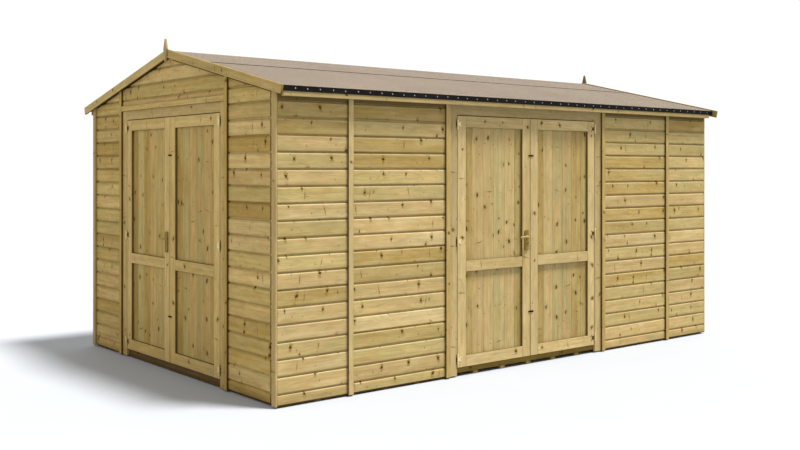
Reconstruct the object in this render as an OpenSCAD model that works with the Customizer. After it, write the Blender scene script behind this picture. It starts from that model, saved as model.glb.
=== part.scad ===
// Workshop shed: lapped timber walls on a framed floor, an apex roof with felt,
// one pair of framed and boarded doors in the front gable and one in the right side.
// Sizes are in millimetres. The front gable faces -Y, the side doors face +X, Z is up.

/* [Walls] */
// Length between the faces of the two gable claddings
wall_length = 4475; // [3600:5:5400]
// Width between the faces of the two side claddings
wall_width = 2854; // [2400:2:3200]
// Thickness of the cladding boards
clad_t = 18; // [14:1:24]
// Height of the cladding's lower edge above the ground
clad_z = 10; // [0:1:20]
// Height of the lowest lap above the ground
first_lap_z = 91; // [70:1:110]
// Height of one lapped course
course = 107; // [90:1:130]
// Depth of the rebate at a lap
lap_depth = 9; // [4:0.5:10]
// Height of the rebate's flat back
lap_flat = 8; // [4:0.5:12]
// Height of the sloping shoulder under the rebate
lap_bevel = 10; // [4:0.5:16]
// Distance of the outer panel joint from the corner
end_panel = 552; // [400:1:700]

/* [Trims] */
// Width of the strips over the panel joints
strip_w = 40; // [28:1:50]
// Thickness of the strips and corner trims
strip_t = 15; // [10:1:20]
// Width of the corner trims
corner_w = 48; // [40:1:70]

/* [Framing] */
// Section of the wall framing
frame_s = 45; // [34:1:60]
// Spacing limit of the studs
stud_pitch = 600; // [400:10:700]

/* [Floor] */
// Height of the floor bearers
bearer_h = 36; // [30:1:60]
// Width of the floor bearers
bearer_w = 45; // [34:1:60]
// Number of floor bearers
bearer_n = 17; // [9:1:19]
// Thickness of the floor deck
deck_t = 24; // [16:1:30]
// Depth of the sill board at each doorway
sill_d = 30; // [20:1:40]
// Height of the sill boards, which are let into the bearers
sill_h = 36; // [26:1:45]

/* [Doors] */
// Width of a pair of doors between the hinge edges
pair_w = 1480; // [1300:1:1560]
// Distance of the front doors' middle from the gable's middle
front_shift = -37; // [-60:1:60]
// Height of the doors
leaf_h = 1787; // [1700:1:1820]
// Width of the stiles
stile_w = 80; // [70:1:100]
// Height of the top and bottom rails
rail_h = 80; // [65:1:95]
// Height of the middle rail
mid_rail_h = 78; // [65:1:95]
// Height of the middle rail above the door's lower edge
mid_rail_z = 677; // [600:1:760]
// Thickness of the frame in front of the boards
door_frame_t = 18; // [14:1:32]
// Thickness of the door boards
door_board_t = 16; // [12:1:20]
// Cover width of a door board
door_board_w = 108; // [90:1:130]
// Distance of the left leaf's first board joint from its meeting edge
left_joint = 37; // [10:1:80]
// Distance of the right leaf's first board joint from its meeting edge
right_joint = 51; // [10:1:80]
// Gap between the two leaves of a pair
meet_gap = 8; // [8:0.5:12]
// Gap around a pair of doors
edge_gap = 6; // [6:0.5:9]
// Width of the board that frames a doorway
jamb_w = 94; // [70:1:110]
// Height of the board over the front doors
head_h = 90; // [70:1:110]
// Width and depth of the vee between two door boards
board_vee = 3; // [2:0.5:4]

/* [Hinges] */
// Height of the wing on the door at its outer edge
hinge_h = 42; // [30:1:60]
// Width of the wing on the door from the pin
hinge_w = 40; // [28:1:44]
// Depth of the notch in the wing's outer edge
hinge_notch = 12; // [4:1:16]
// Width of the wing on the doorway board from the pin
hinge_jamb = 13; // [10:1:20]
// Length of the knuckle
knuckle_l = 64; // [45:1:80]
// Thickness of a hinge plate
hinge_t = 2.5; // [2:0.1:3.5]
// Outer radius of the knuckle
knuckle_r = 6; // [4:0.1:7]
// Radius of the hinge pin
pin_r = 3; // [2:0.1:3.5]
// Radial clearance of the pin in the middle knuckle
pin_fit = 0.05; // [0.02:0.01:0.1]
// Distance of an end hinge's middle from the door's end
hinge_inset = 58; // [50:1:120]

/* [Locks] */
// Height of the lock's backplate
plate_h = 152; // [120:1:180]
// Width of the lock's backplate
plate_w = 40; // [30:1:46]
// Thickness of the backplate
plate_t = 9; // [3:0.5:12]
// Radius of the backplate's corners
plate_round = 10; // [3:1:15]
// Height of the lever's spindle above the door's lower edge
lever_up = 900; // [830:1:980]
// Distance of the spindle from the backplate's upper end
plate_over = 50; // [35:1:70]
// Distance of the keyhole below the spindle
keyhole_drop = 53; // [40:1:70]
// Radius of the keyhole
keyhole_r = 4; // [3:0.5:5]
// Length of the keyhole's slot
keyhole_slot = 12; // [8:1:16]
// Length of the lever from its spindle
lever_l = 92; // [70:1:110]
// Radius of the lever's round bar
lever_r = 7; // [5:0.5:8]
// Radius of the spindle
spindle_r = 6.5; // [5:0.5:9]
// Distance of the lever's middle from the door's face
lever_out = 38; // [24:1:38]

/* [Roof] */
// Height of the bargeboards' upper corners at the eaves above the doorways
eaves_over = 130; // [115:1:200]
// Rise of the bargeboards from the eaves to their peak
roof_rise = 352; // [250:1:500]
// Overhang of the bargeboards beyond the side cladding
overhang = 117; // [90:1:180]
// Overhang of the felt beyond the side cladding
felt_over = 71; // [50:1:85]
// Height of the bargeboards above the felt
barge_up = 9; // [4:1:14]
// Thickness of the roof deck measured upright
roof_t = 16; // [12:1:20]
// Thickness of the felt measured upright
felt_t = 3; // [2:0.5:4]
// Drop of the felt over the eaves
felt_drop = 36; // [25:1:45]
// Distance of the felt's lap from the ridge
felt_seam = 565; // [450:5:750]
// Overlap of the two felt sheets
felt_lap = 75; // [50:5:100]
// Depth of the eaves batten below the roof deck
batten_h = 47; // [30:1:60]
// Thickness of the eaves batten
batten_t = 22; // [16:1:30]
// Distance of the batten's end behind the gable cladding's face
batten_in = 17; // [5:1:30]
// Depth of a bargeboard across its slope
barge_d = 60; // [45:1:90]
// Thickness of a bargeboard
barge_t = 16; // [12:1:24]
// Gap between the corner trims and a bargeboard
barge_off = 13; // [4:1:20]
// Depth of the ridge beam and purlins
purlin_h = 95; // [70:1:120]
// Thickness of the ridge beam and purlins
purlin_t = 45; // [34:1:60]
// Height of a finial above the bargeboards' peak
finial_up = 75; // [50:1:100]
// Depth of a finial below the bargeboards' peak
finial_down = 102; // [80:1:130]
// Width of a finial at the peak
finial_w = 50; // [40:1:70]
// Width of a finial's blunt tip
finial_tip = 9; // [5:1:14]
// Thickness of a finial
finial_t = 14; // [10:1:18]

/* [Hidden] */
// Clearance between fixed pieces
fit = 0.2;
// Overrun of a cutting shape past the piece it cuts
past = 1;
// Facets of small round parts
$fn = 48;
half_w = wall_width / 2;
half_l = wall_length / 2;
slope = roof_rise / (half_w + overhang);
deck_top = bearer_h + deck_t;
sill_z = deck_top - sill_h;
leaf_z = deck_top + edge_gap;
leaf_top = leaf_z + leaf_h;
leaf_w = (pair_w - meet_gap) / 2;
door_half = pair_w / 2;
opening_half = door_half + edge_gap;
head_z = leaf_top + edge_gap;
head_strip_z = head_z + head_h;
eaves_z = head_z + eaves_over;
ridge_z = eaves_z + roof_rise;
lever_z = leaf_z + lever_up;
joint_a = opening_half + jamb_w;
frame_x = clad_t + frame_s;
axis_a = door_half + edge_gap / 2;
spindle_a = -(meet_gap + stile_w) / 2;
hinge_z = [leaf_z + hinge_inset, leaf_z + leaf_h / 2, leaf_top - hinge_inset];
eave_x = half_w + felt_over - felt_t - fit;
roof_half_l = half_l + strip_t + barge_off;

// Name of the one piece to draw, or all

// Heights at a distance from the ridge: the bargeboards' top line, the felt and the deck's underside
function top_z(x) = ridge_z - slope * abs(x);
function felt_z(x) = top_z(x) - barge_up;
function deck_under(x) = felt_z(x) - felt_t - roof_t;
// Studs spread evenly between two places, no further apart than the spacing limit
function stud_count(run) = max(1, ceil(run / stud_pitch));

// A wall is drawn facing +X, with its face at x = 0 and y running to the viewer's right
module on_right() {
  translate([half_w, 0, 0]) children();
}
module on_left() {
  rotate([0, 0, 180]) translate([half_w, 0, 0]) children();
}
module on_front() {
  rotate([0, 0, -90]) translate([half_l, 0, 0]) children();
}
module on_rear() {
  rotate([0, 0, 90]) translate([half_l, 0, 0]) children();
}
// The front doorway's own place on the front wall
module on_front_door() {
  on_front() translate([0, front_shift, 0]) children();
}

module box(x0, x1, y0, y1, z0, z1) {
  translate([x0, y0, z0]) cube([x1 - x0, y1 - y0, z1 - z0]);
}

// Outline of the lapped boards: plumb faces, a square lip and a sloping shoulder at each lap
module clad_outline(z0, z1) {
  laps = [for (z = [first_lap_z : course : z1 - fit])
    if (z - lap_flat - lap_bevel > z0 + fit) z];
  polygon(concat(
    [[-clad_t, z0], [0, z0]],
    [for (z = laps, p = [[0, -lap_flat - lap_bevel], [-lap_depth, -lap_flat], [-lap_depth, 0], [0, 0]])
      [p[0], z + p[1]]],
    [[0, z1], [-clad_t, z1]]));
}

module clad_panel(y0, y1, z0, z1) {
  translate([0, y1 - fit / 2, 0])
    rotate([90, 0, 0])
      linear_extrude(y1 - y0 - fit)
        clad_outline(z0, z1);
}

// Space below the roof deck, as seen by a gable
module under_roof(y0, y1, z0, depth) {
  ridge_in = max(min(0, y1), y0);
  rotate([90, 0, 90])
    translate([0, 0, -depth])
      linear_extrude(depth + past)
        polygon(concat(
          [[y0, z0], [y1, z0], [y1, deck_under(y1) - fit]],
          (y0 < 0 && y1 > 0) ? [[ridge_in, deck_under(0) - fit]] : [],
          [[y0, deck_under(y0) - fit]]));
}

module gable_panel(y0, y1, z0) {
  intersection() {
    clad_panel(y0, y1, z0, ridge_z);
    under_roof(y0, y1, z0 - past, clad_t);
  }
}

// Framing of one side panel: sole plate, head plate and studs, each a length of squared timber
module side_panel_frame(y0, y1) {
  head = deck_under(half_w) - slope * fit - fit;
  x0 = -frame_x;
  x1 = -clad_t - fit;
  studs = stud_count(y1 - y0);
  a0 = y0 + fit;
  a1 = y1 - fit;
  box(x0, x1, a0, a1, deck_top + fit, deck_top + frame_s);
  box(x0, x1, a0, a1, head - frame_s, head);
  for (i = [0 : studs]) {
    y = a0 + (a1 - a0 - frame_s) * i / studs;
    box(x0, x1, y, y + frame_s, deck_top + frame_s + fit, head - frame_s - fit);
  }
}

// Framing of one gable panel: sole plate, raking top plate and studs
module gable_panel_frame(y0, y1, z0) {
  studs = stud_count(y1 - y0);
  x0 = -frame_x;
  x1 = -clad_t - fit;
  a0 = y0 + fit;
  a1 = y1 - fit;
  box(x0, x1, a0, a1, z0 + fit, z0 + frame_s);
  raking_plate(a0, a1);
  intersection() {
    for (i = [0 : studs]) {
      y = a0 + (a1 - a0 - frame_s) * i / studs;
      box(x0, x1, y, y + frame_s, z0 + frame_s + fit, ridge_z);
    }
    translate([0, 0, -frame_s - 2 * fit]) under_roof(a0, a1, 0, frame_x);
  }
}

// Top plate of a gable, cut at the ridge where it crosses it
module raking_plate(y0, y1) {
  difference() {
    intersection() {
      box(-frame_x, -clad_t - fit, y0, y1, 0, ridge_z);
      difference() {
        under_roof(y0, y1, 0, frame_x);
        translate([0, 0, -frame_s]) under_roof(y0 - past, y1 + past, -past, frame_x + past);
      }
    }
    box(-frame_x - past, 0, -fit / 2, fit / 2, 0, ridge_z);
  }
}

module strip(y, w, z0, z1) {
  box(fit, strip_t, y - w / 2, y + w / 2, z0, z1);
}

module floor_bearers() {
  x = half_w - clad_t - fit;
  run = wall_length - 2 * clad_t - 2 * fit - bearer_w;
  color("#6b5334")
    difference() {
      for (i = [0 : bearer_n - 1]) {
        y = -run / 2 + run * i / (bearer_n - 1);
        box(-x, x, y - bearer_w / 2, y + bearer_w / 2, 0, bearer_h);
      }
      on_right() sill_room(sill_z - fit);
      on_front_door() sill_room(sill_z - fit);
    }
}

// Room for the sill board of a doorway, from a height upwards
module sill_room(z) {
  half = opening_half + fit;
  box(-clad_t - 2 * fit - sill_d, past, -half, half, z, ridge_z);
}

module floor_deck() {
  x = half_w - clad_t - fit;
  y = half_l - clad_t - fit;
  color("#b39a68")
    difference() {
      box(-x, x, -y, y, bearer_h + fit, deck_top);
      on_right() sill_room(0);
      on_front_door() sill_room(0);
    }
}

module door_sills() {
  color("#7a5c38") {
    on_right() sill_board();
    on_front_door() sill_board();
  }
}

module sill_board() {
  box(-clad_t - fit - sill_d, -clad_t - fit, -opening_half, opening_half, sill_z, deck_top);
}

module right_wall_cladding() {
  top = deck_under(half_w) - fit;
  color("#c9b07c")
    on_right() {
      clad_panel(-half_l + clad_t, -half_l + end_panel, clad_z, top);
      clad_panel(-half_l + end_panel, -joint_a, clad_z, top);
      clad_panel(joint_a, half_l - end_panel, clad_z, top);
      clad_panel(half_l - end_panel, half_l - clad_t, clad_z, top);
    }
}

module right_wall_framing() {
  color("#b99d66")
    on_right() {
      side_panel_frame(-half_l + frame_x, -half_l + end_panel);
      side_panel_frame(-half_l + end_panel, -joint_a);
      side_panel_frame(joint_a, half_l - end_panel);
      side_panel_frame(half_l - end_panel, half_l - frame_x);
      doorway_frame(deck_under(half_w) - fit - slope * fit);
    }
}

// Posts and lintel around a doorway
module doorway_frame(top) {
  for (s = [-1, 1])
    mirror([0, s < 0 ? 1 : 0, 0])
      box(-frame_x, -clad_t - fit, opening_half, opening_half + frame_s, deck_top + fit, top);
  box(-frame_x, -clad_t - fit, -opening_half + fit, opening_half - fit, head_z, head_z + frame_s);
}

module right_cover_strips() {
  top = deck_under(half_w + strip_t) - fit;
  color("#c2a873")
    on_right()
      for (y = [-half_l + end_panel, -joint_a, joint_a, half_l - end_panel])
        strip(y, strip_w, clad_z, top);
}

module side_door_frame() {
  color("#bfa570")
    on_right()
      door_casing(deck_under(half_w) - fit);
}

// Boards that face the doorway: two jambs and a head
module door_casing(top) {
  for (s = [-1, 1])
    mirror([0, s < 0 ? 1 : 0, 0])
      box(-clad_t, 0, opening_half, joint_a - fit, clad_z, top);
  box(-clad_t, 0, -opening_half + fit, opening_half - fit, head_z, top);
}

module left_wall_cladding() {
  top = deck_under(half_w) - fit;
  color("#c9b07c")
    on_left() {
      for (s = [-1, 1]) {
        mirror([0, s < 0 ? 1 : 0, 0]) {
          clad_panel(0, joint_a, clad_z, top);
          clad_panel(joint_a, half_l - end_panel, clad_z, top);
          clad_panel(half_l - end_panel, half_l - clad_t, clad_z, top);
        }
      }
    }
}

module left_wall_framing() {
  color("#b99d66")
    on_left()
      for (s = [-1, 1])
        mirror([0, s < 0 ? 1 : 0, 0]) {
          side_panel_frame(0, joint_a);
          side_panel_frame(joint_a, half_l - end_panel);
          side_panel_frame(half_l - end_panel, half_l - frame_x);
        }
}

module left_cover_strips() {
  top = deck_under(half_w + strip_t) - fit;
  color("#c2a873")
    on_left()
      for (y = [-half_l + end_panel, -joint_a, 0, joint_a, half_l - end_panel])
        strip(y, strip_w, clad_z, top);
}

module front_wall_cladding() {
  color("#c9b07c")
    on_front() {
      gable_panel(-half_w + fit, front_shift - joint_a, clad_z);
      gable_panel(front_shift + joint_a, half_w - fit, clad_z);
    }
}

module front_gable_cladding() {
  color("#c9b07c")
    on_front()
      gable_panel(front_shift - joint_a, front_shift + joint_a, head_strip_z);
}

module front_wall_framing() {
  color("#b99d66")
    on_front() {
      gable_panel_frame(-half_w + clad_t + fit, front_shift - joint_a, deck_top);
      gable_panel_frame(front_shift + joint_a, half_w - clad_t - fit, deck_top);
      gable_panel_frame(front_shift - joint_a, front_shift + joint_a, head_strip_z);
      translate([0, front_shift, 0]) doorway_frame(head_strip_z - fit);
    }
}

module front_cover_strips() {
  w = strip_w / 2;
  y0 = front_shift - joint_a;
  y1 = front_shift + joint_a;
  color("#c2a873")
    on_front() {
      for (y = [y0, y1])
        strip(y, strip_w, clad_z, deck_under(abs(y) + w) - fit);
      box(fit, strip_t, y0 + w + fit, y1 - w - fit, head_strip_z - w, head_strip_z + w);
    }
}

module front_door_frame() {
  color("#bfa570")
    on_front_door()
      door_casing(head_strip_z - fit);
}

module rear_wall_cladding() {
  color("#c9b07c")
    on_rear() {
      gable_panel(-half_w + fit, -joint_a, clad_z);
      gable_panel(-joint_a, joint_a, clad_z);
      gable_panel(joint_a, half_w - fit, clad_z);
    }
}

module rear_wall_framing() {
  color("#b99d66")
    on_rear() {
      gable_panel_frame(-half_w + clad_t + fit, -joint_a, deck_top);
      gable_panel_frame(-joint_a, joint_a, deck_top);
      gable_panel_frame(joint_a, half_w - clad_t - fit, deck_top);
    }
}

module rear_cover_strips() {
  color("#c2a873")
    on_rear()
      for (y = [-joint_a, joint_a])
        strip(y, strip_w, clad_z, deck_under(joint_a + strip_w / 2) - fit);
}

module corner_trims() {
  color("#c2a873") {
    on_front() corner_pair();
    on_rear() corner_pair();
  }
}

module corner_pair() {
  for (s = [-1, 1])
    translate([0, s * (half_w - corner_w / 2), 0])
      strip(0, corner_w, clad_z, deck_under(half_w) - fit);
}

// A sheet along the roof, drawn from its section across the ridge
module roof_run(half_len) {
  rotate([90, 0, 0])
    translate([0, 0, -half_len])
      linear_extrude(2 * half_len)
        children();
}

module both_slopes() {
  children();
  mirror([1, 0, 0]) children();
}

module roof_deck() {
  x0 = fit / 2;
  down = felt_t + fit;
  color("#b99d66")
    both_slopes()
      roof_run(roof_half_l)
        polygon([[x0, deck_under(x0)], [eave_x, deck_under(eave_x)],
          [eave_x, felt_z(eave_x) - down], [x0, felt_z(x0) - down]]);
}

// The lower sheets lie on the deck and turn down over its edge
module lower_felt() {
  edge = half_w + felt_over;
  inner = edge - felt_t;
  x0 = felt_seam - felt_lap;
  color("#a99a8a")
    both_slopes()
      roof_run(roof_half_l)
        polygon([[x0, felt_z(x0) - felt_t], [inner, felt_z(inner) - felt_t],
          [inner, felt_z(edge) - felt_drop], [edge, felt_z(edge) - felt_drop],
          [edge, felt_z(edge)], [x0, felt_z(x0)]]);
}

// The upper sheet bends over the ridge and lies on the lower sheets at its two edges
module upper_felt() {
  right = felt_edge(1);
  left = felt_edge(-1);
  last = len(left) - 1;
  color("#a99a8a")
    roof_run(roof_half_l)
      polygon(concat(
        [[0, felt_z(0) - felt_t]], right,
        [[0, felt_z(0)]], [for (i = [0 : last]) left[last - i]]));
}

// Outline of the upper sheet on one slope, along its underside to its edge and back along its top
function felt_edge(s) =
  let (x0 = felt_seam - felt_lap - fit, x1 = x0 - felt_t, x2 = x1 - felt_lap / 2, up = felt_t + fit) [
    [s * x0, felt_z(x0) - felt_t], [s * x0, felt_z(x0) + fit],
    [s * felt_seam, felt_z(felt_seam) + fit], [s * felt_seam, felt_z(felt_seam) + up],
    [s * x1, felt_z(x1) + up], [s * x2, felt_z(x2)]];

module eaves_battens() {
  top = deck_under(eave_x) - fit;
  y = half_l - batten_in;
  color("#a98d58")
    both_slopes()
      box(eave_x - batten_t, eave_x, -y, y, top - batten_h, top);
}

module roof_purlins() {
  x = half_w / 2;
  top = deck_under(x + purlin_t / 2) - fit;
  y = half_l - frame_x - fit;
  color("#b99d66")
    both_slopes()
      box(x - purlin_t / 2, x + purlin_t / 2, -y, y, top - purlin_h, top);
}

module ridge_beam() {
  top = deck_under(purlin_t / 2) - fit;
  y = half_l - frame_x - fit;
  color("#b99d66")
    box(-purlin_t / 2, purlin_t / 2, -y, y, top - purlin_h, top);
}

// Bargeboards with a plumb cut at the peak and a square cut at the eaves
module bargeboards() {
  tilt = atan(slope);
  x0 = fit / 2;
  x1 = half_w + overhang;
  color("#b59a63")
    for (s = [-1, 1])
      translate([0, s * (roof_half_l + fit + barge_t / 2), 0])
        both_slopes()
          roof_run(barge_t / 2)
            polygon([[x0, top_z(x0) - barge_d / cos(tilt)],
              [x1 - barge_d * sin(tilt), top_z(x1) - barge_d * cos(tilt)],
              [x1, top_z(x1)], [x0, top_z(x0)]]);
}

module finials() {
  face = roof_half_l + 2 * fit + barge_t;
  color("#b59a63")
    for (s = [-1, 1])
      translate([0, s * (face + finial_t / 2), ridge_z])
        roof_run(finial_t / 2)
          finial_outline();
}

// Kite with a blunt tip, widest where the bargeboards meet
module finial_outline() {
  w = finial_w / 2;
  t = finial_tip / 2;
  polygon([[0, -finial_down], [w, 0], [t, finial_up], [-t, finial_up], [-w, 0]]);
}

// Butterfly wing of a hinge on the door's face, from the pin to its notched outer edge
module hinge_wing(z) {
  waist = knuckle_l / 6 - fit;
  translate([fit, 0, z])
    rotate([90, 0, 90])
      linear_extrude(hinge_t - fit)
        polygon([[0, -waist], [hinge_w / 3, -waist], [hinge_w, -hinge_h / 2],
          [hinge_w - hinge_notch, 0],
          [hinge_w, hinge_h / 2], [hinge_w / 3, waist], [0, waist]]);
}

module barrel(z, h, r) {
  translate([knuckle_r, 0, z - h / 2]) cylinder(h = h, r = r);
}

// Room around a part of the knuckle for the other half's barrel
module barrel_room(z, h) {
  r = knuckle_r + 2 * fit;
  box(-r, knuckle_r + r, -r, r, z - h / 2 - fit, z + h / 2 + fit);
}

// Fixed half of a hinge with the pin and the two end barrels
module jamb_hinge(z) {
  mirror([0, 1, 0])
    difference() {
      union() {
        box(fit, hinge_t, 0, hinge_jamb, z - knuckle_l / 2, z + knuckle_l / 2);
        barrel(z, knuckle_l, knuckle_r);
      }
      barrel_room(z, knuckle_l / 3);
    }
  barrel(z, knuckle_l, pin_r);
}

// Moving half of a hinge with the middle barrel
module leaf_hinge(z) {
  third = knuckle_l / 3;
  difference() {
    union() {
      hinge_wing(z);
      barrel(z, third - 2 * fit, knuckle_r);
    }
    barrel(z, knuckle_l, pin_r + pin_fit);
  }
}

module jamb_hinges() {
  color("#c8a24c") {
    on_right() jamb_hinge_set();
    on_front_door() jamb_hinge_set();
  }
}

module jamb_hinge_set() {
  for (s = [-1, 1])
    mirror([0, s > 0 ? 1 : 0, 0])
      translate([0, -axis_a, 0])
        for (z = hinge_z)
          jamb_hinge(z);
}

// A leaf is drawn as the viewer's left leaf of a pair; the right leaf is its mirror image
module leaf_side(s) {
  mirror([0, s > 0 ? 1 : 0, 0]) children();
}

module leaf_frame() {
  y0 = -door_half;
  y1 = y0 + leaf_w;
  x0 = -door_frame_t;
  for (y = [y0, y1 - stile_w])
    box(x0, 0, y, y + stile_w, leaf_z, leaf_top);
  for (r = [[leaf_z, rail_h], [leaf_z + mid_rail_z, mid_rail_h], [leaf_top - rail_h, rail_h]])
    box(x0, 0, y0 + stile_w + fit, y1 - stile_w - fit, r[0], r[0] + r[1]);
}

// Door boards run upright, with a vee at each joint counted from the meeting edge
module leaf_boards(first) {
  y0 = -door_half;
  y1 = y0 + leaf_w;
  front = -door_frame_t - fit;
  difference() {
    box(front - door_board_t, front, y0, y1, leaf_z, leaf_top);
    for (d = [first : door_board_w : leaf_w - board_vee])
      translate([front, y1 - d, leaf_z - edge_gap])
        rotate([0, 0, 45])
          translate([-board_vee / 2, -board_vee / 2, 0])
            cube([board_vee, board_vee, leaf_h + 2 * edge_gap]);
  }
}

module leaf_hinges() {
  translate([0, -axis_a, 0])
    for (z = hinge_z)
      leaf_hinge(z);
}

// Backplate of the lock with a keyhole and a hole for the spindle
module lock_plate() {
  top = lever_z + plate_over;
  keyhole = lever_z - keyhole_drop;
  difference() {
    rounded_plate(spindle_a - plate_w / 2, spindle_a + plate_w / 2, top - plate_h, top);
    translate([0, spindle_a, lever_z]) across(spindle_r + pin_fit);
    translate([0, spindle_a, keyhole]) across(keyhole_r);
    translate([0, spindle_a, keyhole])
      box(0, 2 * plate_t, -keyhole_r / 2, keyhole_r / 2, -keyhole_slot, 0);
  }
}

// Plate on the door's face with rounded corners
module rounded_plate(y0, y1, z0, z1) {
  box(fit, plate_t, y0, y1, z0 + plate_round, z1 - plate_round);
  box(fit, plate_t, y0 + plate_round, y1 - plate_round, z0, z1);
  for (y = [y0 + plate_round, y1 - plate_round], z = [z0 + plate_round, z1 - plate_round])
    translate([fit, y, z])
      rotate([0, 90, 0])
        cylinder(h = plate_t - fit, r = plate_round);
}

// Round hole through the backplate
module across(r) {
  rotate([0, 90, 0]) cylinder(h = 2 * plate_t, r = r);
}

// Lever with its spindle, pointing to the viewer's left
module lever() {
  translate([fit, spindle_a, lever_z])
    rotate([0, 90, 0])
      cylinder(h = lever_out - fit, r = spindle_r);
  translate([lever_out, spindle_a, lever_z])
    rotate([90, 0, 0])
      cylinder(h = lever_l, r = lever_r);
  translate([lever_out, spindle_a, lever_z])
    sphere(r = lever_r);
}

module front_left_frame() {
  color("#bda26b") on_front_door() leaf_side(-1) leaf_frame();
}
module front_left_boards() {
  color("#c4a973") on_front_door() leaf_side(-1) leaf_boards(left_joint);
}
module front_left_hinges() {
  color("#c8a24c") on_front_door() leaf_side(-1) leaf_hinges();
}
module front_lock_plate() {
  color("#c8a24c") on_front_door() lock_plate();
}
module front_lever() {
  color("#c8a24c") on_front_door() lever();
}
module front_right_frame() {
  color("#bda26b") on_front_door() leaf_side(1) leaf_frame();
}
module front_right_boards() {
  color("#c4a973") on_front_door() leaf_side(1) leaf_boards(right_joint);
}
module front_right_hinges() {
  color("#c8a24c") on_front_door() leaf_side(1) leaf_hinges();
}
module side_left_frame() {
  color("#bda26b") on_right() leaf_side(-1) leaf_frame();
}
module side_left_boards() {
  color("#c4a973") on_right() leaf_side(-1) leaf_boards(left_joint);
}
module side_left_hinges() {
  color("#c8a24c") on_right() leaf_side(-1) leaf_hinges();
}
module side_lock_plate() {
  color("#c8a24c") on_right() lock_plate();
}
module side_lever() {
  color("#c8a24c") on_right() lever();
}
module side_right_frame() {
  color("#bda26b") on_right() leaf_side(1) leaf_frame();
}
module side_right_boards() {
  color("#c4a973") on_right() leaf_side(1) leaf_boards(right_joint);
}
module side_right_hinges() {
  color("#c8a24c") on_right() leaf_side(1) leaf_hinges();
}

floor_bearers();
floor_deck();
door_sills();
right_wall_cladding();
right_wall_framing();
right_cover_strips();
side_door_frame();
left_wall_cladding();
left_wall_framing();
left_cover_strips();
front_wall_cladding();
front_gable_cladding();
front_wall_framing();
front_cover_strips();
front_door_frame();
rear_wall_cladding();
rear_wall_framing();
rear_cover_strips();
corner_trims();
roof_deck();
lower_felt();
upper_felt();
eaves_battens();
roof_purlins();
ridge_beam();
bargeboards();
finials();
jamb_hinges();
front_left_frame();
front_left_boards();
front_left_hinges();
front_lock_plate();
front_lever();
front_right_frame();
front_right_boards();
front_right_hinges();
side_left_frame();
side_left_boards();
side_left_hinges();
side_lock_plate();
side_lever();
side_right_frame();
side_right_boards();
side_right_hinges();
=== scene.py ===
"""Looks of the workshop shed: boards, grain, felt, fittings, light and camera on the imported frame.
Metres. The front gable faces -Y, the side doors face +X, Z is up."""

import math
import random

import bmesh
import bpy
import numpy as np
from mathutils import Matrix, Vector


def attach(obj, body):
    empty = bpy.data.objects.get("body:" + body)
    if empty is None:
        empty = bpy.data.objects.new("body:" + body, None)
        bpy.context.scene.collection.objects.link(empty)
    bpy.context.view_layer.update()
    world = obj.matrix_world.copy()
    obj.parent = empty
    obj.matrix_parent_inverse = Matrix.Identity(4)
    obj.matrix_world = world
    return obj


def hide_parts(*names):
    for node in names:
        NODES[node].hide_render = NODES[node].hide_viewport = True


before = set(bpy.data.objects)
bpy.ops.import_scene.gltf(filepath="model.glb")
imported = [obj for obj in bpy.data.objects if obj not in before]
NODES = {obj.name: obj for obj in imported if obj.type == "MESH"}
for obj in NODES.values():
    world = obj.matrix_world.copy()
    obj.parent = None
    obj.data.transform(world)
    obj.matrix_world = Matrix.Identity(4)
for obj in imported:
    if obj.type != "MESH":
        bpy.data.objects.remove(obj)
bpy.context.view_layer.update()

X, Y, Z = Vector((1, 0, 0)), Vector((0, 1, 0)), Vector((0, 0, 1))

# Walls: half the width and length over the cladding, its thickness, its courses and the line along its foot
HALF_W, HALF_L = 1.427, 2.2375
CLAD_T = 0.018
FIRST_LAP, COURSE = 0.091, 0.107
WALL_COURSES, ALL_COURSES = 17, 22
BASE_LINE = 0.021
# What lies beyond these belongs to the right wall or to the front gable
RIGHT_SIDE, FRONT_SIDE = HALF_W - 0.1, -HALF_L + 0.1
# Depths behind the wall's face of a lap's slope, and where the painted shade on it begins and how far it
# deepens
LAP_SLOPE, LAP_SHADE_START, LAP_DEEPENS = (0.0004, 0.0135), 0.0015, 0.007

# Doors: the front doorway's middle, then places out from a doorway's middle and heights
SHIFT = -0.037
MEET, DOOR_HALF, AXIS = 0.004, 0.740, 0.743
LEAF_Z, LEAF_TOP = 0.066, 1.853
STILE, BOARD, BOARD_JOINTS = 0.080, 0.108, 7
LEFT_JOINT, RIGHT_JOINT = 0.037, 0.051
HANDS = (("left", -1), ("right", 1))

# Hinges and locks
HINGE_Z = (0.124, 0.9595, 1.795)
KNUCKLE, KNUCKLE_R, WING_T = 0.064, 0.006, 0.0025
SPINDLE, LEVER_Z = -0.044, 0.966
KEYHOLE_Z = LEVER_Z - 0.053
PLATE_T = 0.009

# Roof: its rise over half its width, the ridge's height, the bargeboards' depth, and the felt's edge, which
# lies below the roof line and is turned down
ROOF_RISE, ROOF_HALF = 0.352, HALF_W + 0.117
SLOPE = ROOF_RISE / ROOF_HALF
RIDGE = 2.341
BARGE = 0.060
BARGE_DROP = BARGE * math.hypot(1.0, SLOPE)
FELT_EDGE = HALF_W + 0.071
FELT_SINK, FELT_DROP = 0.009, 0.036
# Depth below the roof line, left and right, of the painted shadow line under the front bargeboards
SOFFIT_SHADOW = (BARGE_DROP - 0.009, BARGE_DROP + 0.014)


# Node helper


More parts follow.
